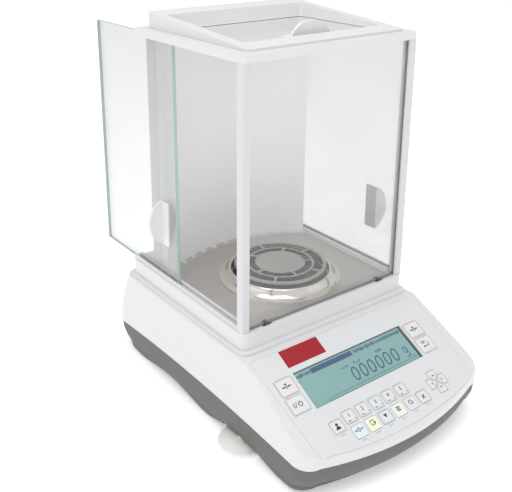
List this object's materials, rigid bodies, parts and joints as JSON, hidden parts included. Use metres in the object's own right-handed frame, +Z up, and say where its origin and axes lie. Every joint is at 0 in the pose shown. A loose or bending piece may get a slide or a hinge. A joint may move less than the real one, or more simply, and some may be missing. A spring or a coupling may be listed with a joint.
{
  "type": "analytical balance",
  "caption": "Bench balance with a sloped keypad, a glass weighing chamber with sliding side and top doors, a round pan inside a draft ring, and levelling feet.",
  "frame": {"origin": "on the bench, under the weighing pan's axis, at the centre of the object's outline with its left door stored open", "axes": "+X to the user's right, +Y to the back, +Z up; the keypad faces -Y"},
  "size_m": [0.242, 0.3599, 0.36],
  "materials": {
    "black_rubber": "black rubber",
    "board": "green solder mask",
    "brass_insert": "brass insert",
    "cast_alloy": "machined casting",
    "clear_glass": "clear float glass",
    "clear_window": "clear display window",
    "connector_body": "black moulded connector",
    "connector_shell": "plated connector shell",
    "copper_coil": "enamelled copper winding",
    "foot_plastic": "off-white moulded hand wheel",
    "grey_plastic": "matte warm grey moulding",
    "grey_rubber": "dark grey rubber",
    "key_film": "printed embossed film",
    "lcd_glass": "blue-green liquid crystal cell in a dark frame",
    "magnet_coat": "nickel-plated magnet steel",
    "membrane_film": "clear grey circuit film",
    "panel_film": "printed polyester film",
    "polished_steel": "polished stainless",
    "satin_steel": "satin stainless",
    "steel_plate": "brushed stainless sheet",
    "vial_glass": "level vial with tinted liquid",
    "white_plastic": "satin white moulding",
    "white_rail": "satin white moulding",
    "zinc_screw": "zinc-plated screw"
  },
  "bodies": {
    "base": {"lower_housing": "grey_plastic", "upper_housing": "white_plastic", "control_overlay": "panel_film", "keypad_membrane": "membrane_film", "lcd_window": "clear_window", "lcd_module": "lcd_glass", "display_board": "board", "chamber_base": "white_plastic", "floor_plate": "steel_plate", "glass_seats": "black_rubber", "front_glass": "clear_glass", "column_wall": "white_rail", "column_cover": "white_rail", "lid_frame": "white_plastic", "load_cell_frame": "cast_alloy", "magnet_pot": "magnet_coat", "main_board": "board", "dc_jack": "connector_body", "serial_port": "connector_shell", "level_vial": "vial_glass", "case_screws": "zinc_screw", "foot_inserts": "brass_insert", "rear_feet": "grey_rubber", "post_left": "white_rail", "post_right": "white_rail"},
    "left_door": {"left_door_glass": "clear_glass", "left_door_handle": "white_rail"},
    "right_door": {"right_door_glass": "clear_glass", "right_door_handle": "white_rail"},
    "top_door": {"top_door_glass": "clear_glass", "top_door_handle": "white_rail"},
    "pan_carrier": {"pan_support": "satin_steel"},
    "pan": {"weighing_pan": "satin_steel"},
    "ring": {"draft_ring": "polished_steel"},
    "lever": {"lever_beam": "cast_alloy", "force_coil": "copper_coil"},
    "left_foot_pad": {"foot_pad_left": "grey_rubber"},
    "right_foot_pad": {"foot_pad_right": "grey_rubber"},
    "left_foot_wheel": {"foot_wheel_left": "foot_plastic"},
    "right_foot_wheel": {"foot_wheel_right": "foot_plastic"},
    "key_tare_left": {"key_tare_left": "key_film"},
    "key_power": {"key_power": "key_film"},
    "key_tare_right": {"key_tare_right": "key_film"},
    "key_enter": {"key_enter": "key_film"},
    "key_user": {"key_user": "key_film"},
    "key_f1": {"key_f1": "key_film"},
    "key_f2": {"key_f2": "key_film"},
    "key_f3": {"key_f3": "key_film"},
    "key_f4": {"key_f4": "key_film"},
    "key_f5": {"key_f5": "key_film"},
    "key_zero": {"key_zero": "key_film"},
    "key_print": {"key_print": "key_film"},
    "key_calibrate": {"key_calibrate": "key_film"},
    "key_menu": {"key_menu": "key_film"},
    "key_units": {"key_units": "key_film"},
    "key_clear": {"key_clear": "key_film"},
    "key_up": {"key_up": "key_film"},
    "key_left": {"key_left": "key_film"},
    "key_down": {"key_down": "key_film"},
    "key_right": {"key_right": "key_film"}
  },
  "joints": [
    {"name": "left_door_slide", "type": "slide", "parent": "base", "child": "left_door", "axis": [0, 1, 0], "range_m": [-0.098, 0.012]},
    {"name": "right_door_slide", "type": "slide", "parent": "base", "child": "right_door", "axis": [0, 1, 0], "range_m": [0, 0.11]},
    {"name": "top_door_slide", "type": "slide", "parent": "base", "child": "top_door", "axis": [0, 1, 0], "range_m": [0, 0.087]},
    {"name": "pan_load", "type": "slide", "parent": "base", "child": "pan_carrier", "axis": [0, 0, -1], "range_m": [0, 0.0004], "stiffness_N_per_m": 40000},
    {"name": "pan_lift_off", "type": "slide", "parent": "pan_carrier", "child": "pan", "axis": [0, 0, 1], "range_m": [0, 0.04]},
    {"name": "ring_lift_off", "type": "slide", "parent": "base", "child": "ring", "axis": [0, 0, 1], "range_m": [0, 0.03]},
    {"name": "lever_tilt", "type": "hinge", "parent": "base", "child": "lever", "pos_m": [0, 0.038, 0.052], "axis": [1, 0, 0], "range_deg": [0, 1.04]},
    {"name": "left_foot_height", "type": "slide", "parent": "base", "child": "left_foot_pad", "axis": [0, 0, 1], "range_m": [-0.0025, 0.0025]},
    {"name": "left_foot_turn", "type": "hinge", "parent": "left_foot_pad", "child": "left_foot_wheel", "pos_m": [-0.099, -0.072, 0.004], "axis": [0, 0, 1], "range_deg": [-720, 720]},
    {"name": "right_foot_height", "type": "slide", "parent": "base", "child": "right_foot_pad", "axis": [0, 0, 1], "range_m": [-0.0025, 0.0025]},
    {"name": "right_foot_turn", "type": "hinge", "parent": "right_foot_pad", "child": "right_foot_wheel", "pos_m": [0.099, -0.072, 0.004], "axis": [0, 0, 1], "range_deg": [-720, 720]},
    {"name": "key_tare_left_press", "type": "slide", "parent": "base", "child": "key_tare_left", "axis": [0, 0.4695, -0.8829], "range_m": [0, 0.00035], "stiffness_N_per_m": 6000},
    {"name": "key_power_press", "type": "slide", "parent": "base", "child": "key_power", "axis": [0, 0.4695, -0.8829], "range_m": [0, 0.00035], "stiffness_N_per_m": 6000},
    {"name": "key_tare_right_press", "type": "slide", "parent": "base", "child": "key_tare_right", "axis": [0, 0.4695, -0.8829], "range_m": [0, 0.00035], "stiffness_N_per_m": 6000},
    {"name": "key_enter_press", "type": "slide", "parent": "base", "child": "key_enter", "axis": [0, 0.4695, -0.8829], "range_m": [0, 0.00035], "stiffness_N_per_m": 6000},
    {"name": "key_user_press", "type": "slide", "parent": "base", "child": "key_user", "axis": [0, 0.4695, -0.8829], "range_m": [0, 0.00035], "stiffness_N_per_m": 6000},
    {"name": "key_f1_press", "type": "slide", "parent": "base", "child": "key_f1", "axis": [0, 0.4695, -0.8829], "range_m": [0, 0.00035], "stiffness_N_per_m": 6000},
    {"name": "key_f2_press", "type": "slide", "parent": "base", "child": "key_f2", "axis": [0, 0.4695, -0.8829], "range_m": [0, 0.00035], "stiffness_N_per_m": 6000},
    {"name": "key_f3_press", "type": "slide", "parent": "base", "child": "key_f3", "axis": [0, 0.4695, -0.8829], "range_m": [0, 0.00035], "stiffness_N_per_m": 6000},
    {"name": "key_f4_press", "type": "slide", "parent": "base", "child": "key_f4", "axis": [0, 0.4695, -0.8829], "range_m": [0, 0.00035], "stiffness_N_per_m": 6000},
    {"name": "key_f5_press", "type": "slide", "parent": "base", "child": "key_f5", "axis": [0, 0.4695, -0.8829], "range_m": [0, 0.00035], "stiffness_N_per_m": 6000},
    {"name": "key_zero_press", "type": "slide", "parent": "base", "child": "key_zero", "axis": [0, 0.4695, -0.8829], "range_m": [0, 0.00035], "stiffness_N_per_m": 6000},
    {"name": "key_print_press", "type": "slide", "parent": "base", "child": "key_print", "axis": [0, 0.4695, -0.8829], "range_m": [0, 0.00035], "stiffness_N_per_m": 6000},
    {"name": "key_calibrate_press", "type": "slide", "parent": "base", "child": "key_calibrate", "axis": [0, 0.4695, -0.8829], "range_m": [0, 0.00035], "stiffness_N_per_m": 6000},
    {"name": "key_menu_press", "type": "slide", "parent": "base", "child": "key_menu", "axis": [0, 0.4695, -0.8829], "range_m": [0, 0.00035], "stiffness_N_per_m": 6000},
    {"name": "key_units_press", "type": "slide", "parent": "base", "child": "key_units", "axis": [0, 0.4695, -0.8829], "range_m": [0, 0.00035], "stiffness_N_per_m": 6000},
    {"name": "key_clear_press", "type": "slide", "parent": "base", "child": "key_clear", "axis": [0, 0.4695, -0.8829], "range_m": [0, 0.00035], "stiffness_N_per_m": 6000},
    {"name": "key_up_press", "type": "slide", "parent": "base", "child": "key_up", "axis": [0, 0.4695, -0.8829], "range_m": [0, 0.00035], "stiffness_N_per_m": 6000},
    {"name": "key_left_press", "type": "slide", "parent": "base", "child": "key_left", "axis": [0, 0.4695, -0.8829], "range_m": [0, 0.00035], "stiffness_N_per_m": 6000},
    {"name": "key_down_press", "type": "slide", "parent": "base", "child": "key_down", "axis": [0, 0.4695, -0.8829], "range_m": [0, 0.00035], "stiffness_N_per_m": 6000},
    {"name": "key_right_press", "type": "slide", "parent": "base", "child": "key_right", "axis": [0, 0.4695, -0.8829], "range_m": [0, 0.00035], "stiffness_N_per_m": 6000}
  ],
  "couplings": [
    {"joint": "lever_tilt", "follows": "pan_load", "rad_per_m": 45.455},
    {"joint": "left_foot_turn", "follows": "left_foot_height", "rad_per_m": 5026.6},
    {"joint": "right_foot_turn", "follows": "right_foot_height", "rad_per_m": 5026.6}
  ]
}
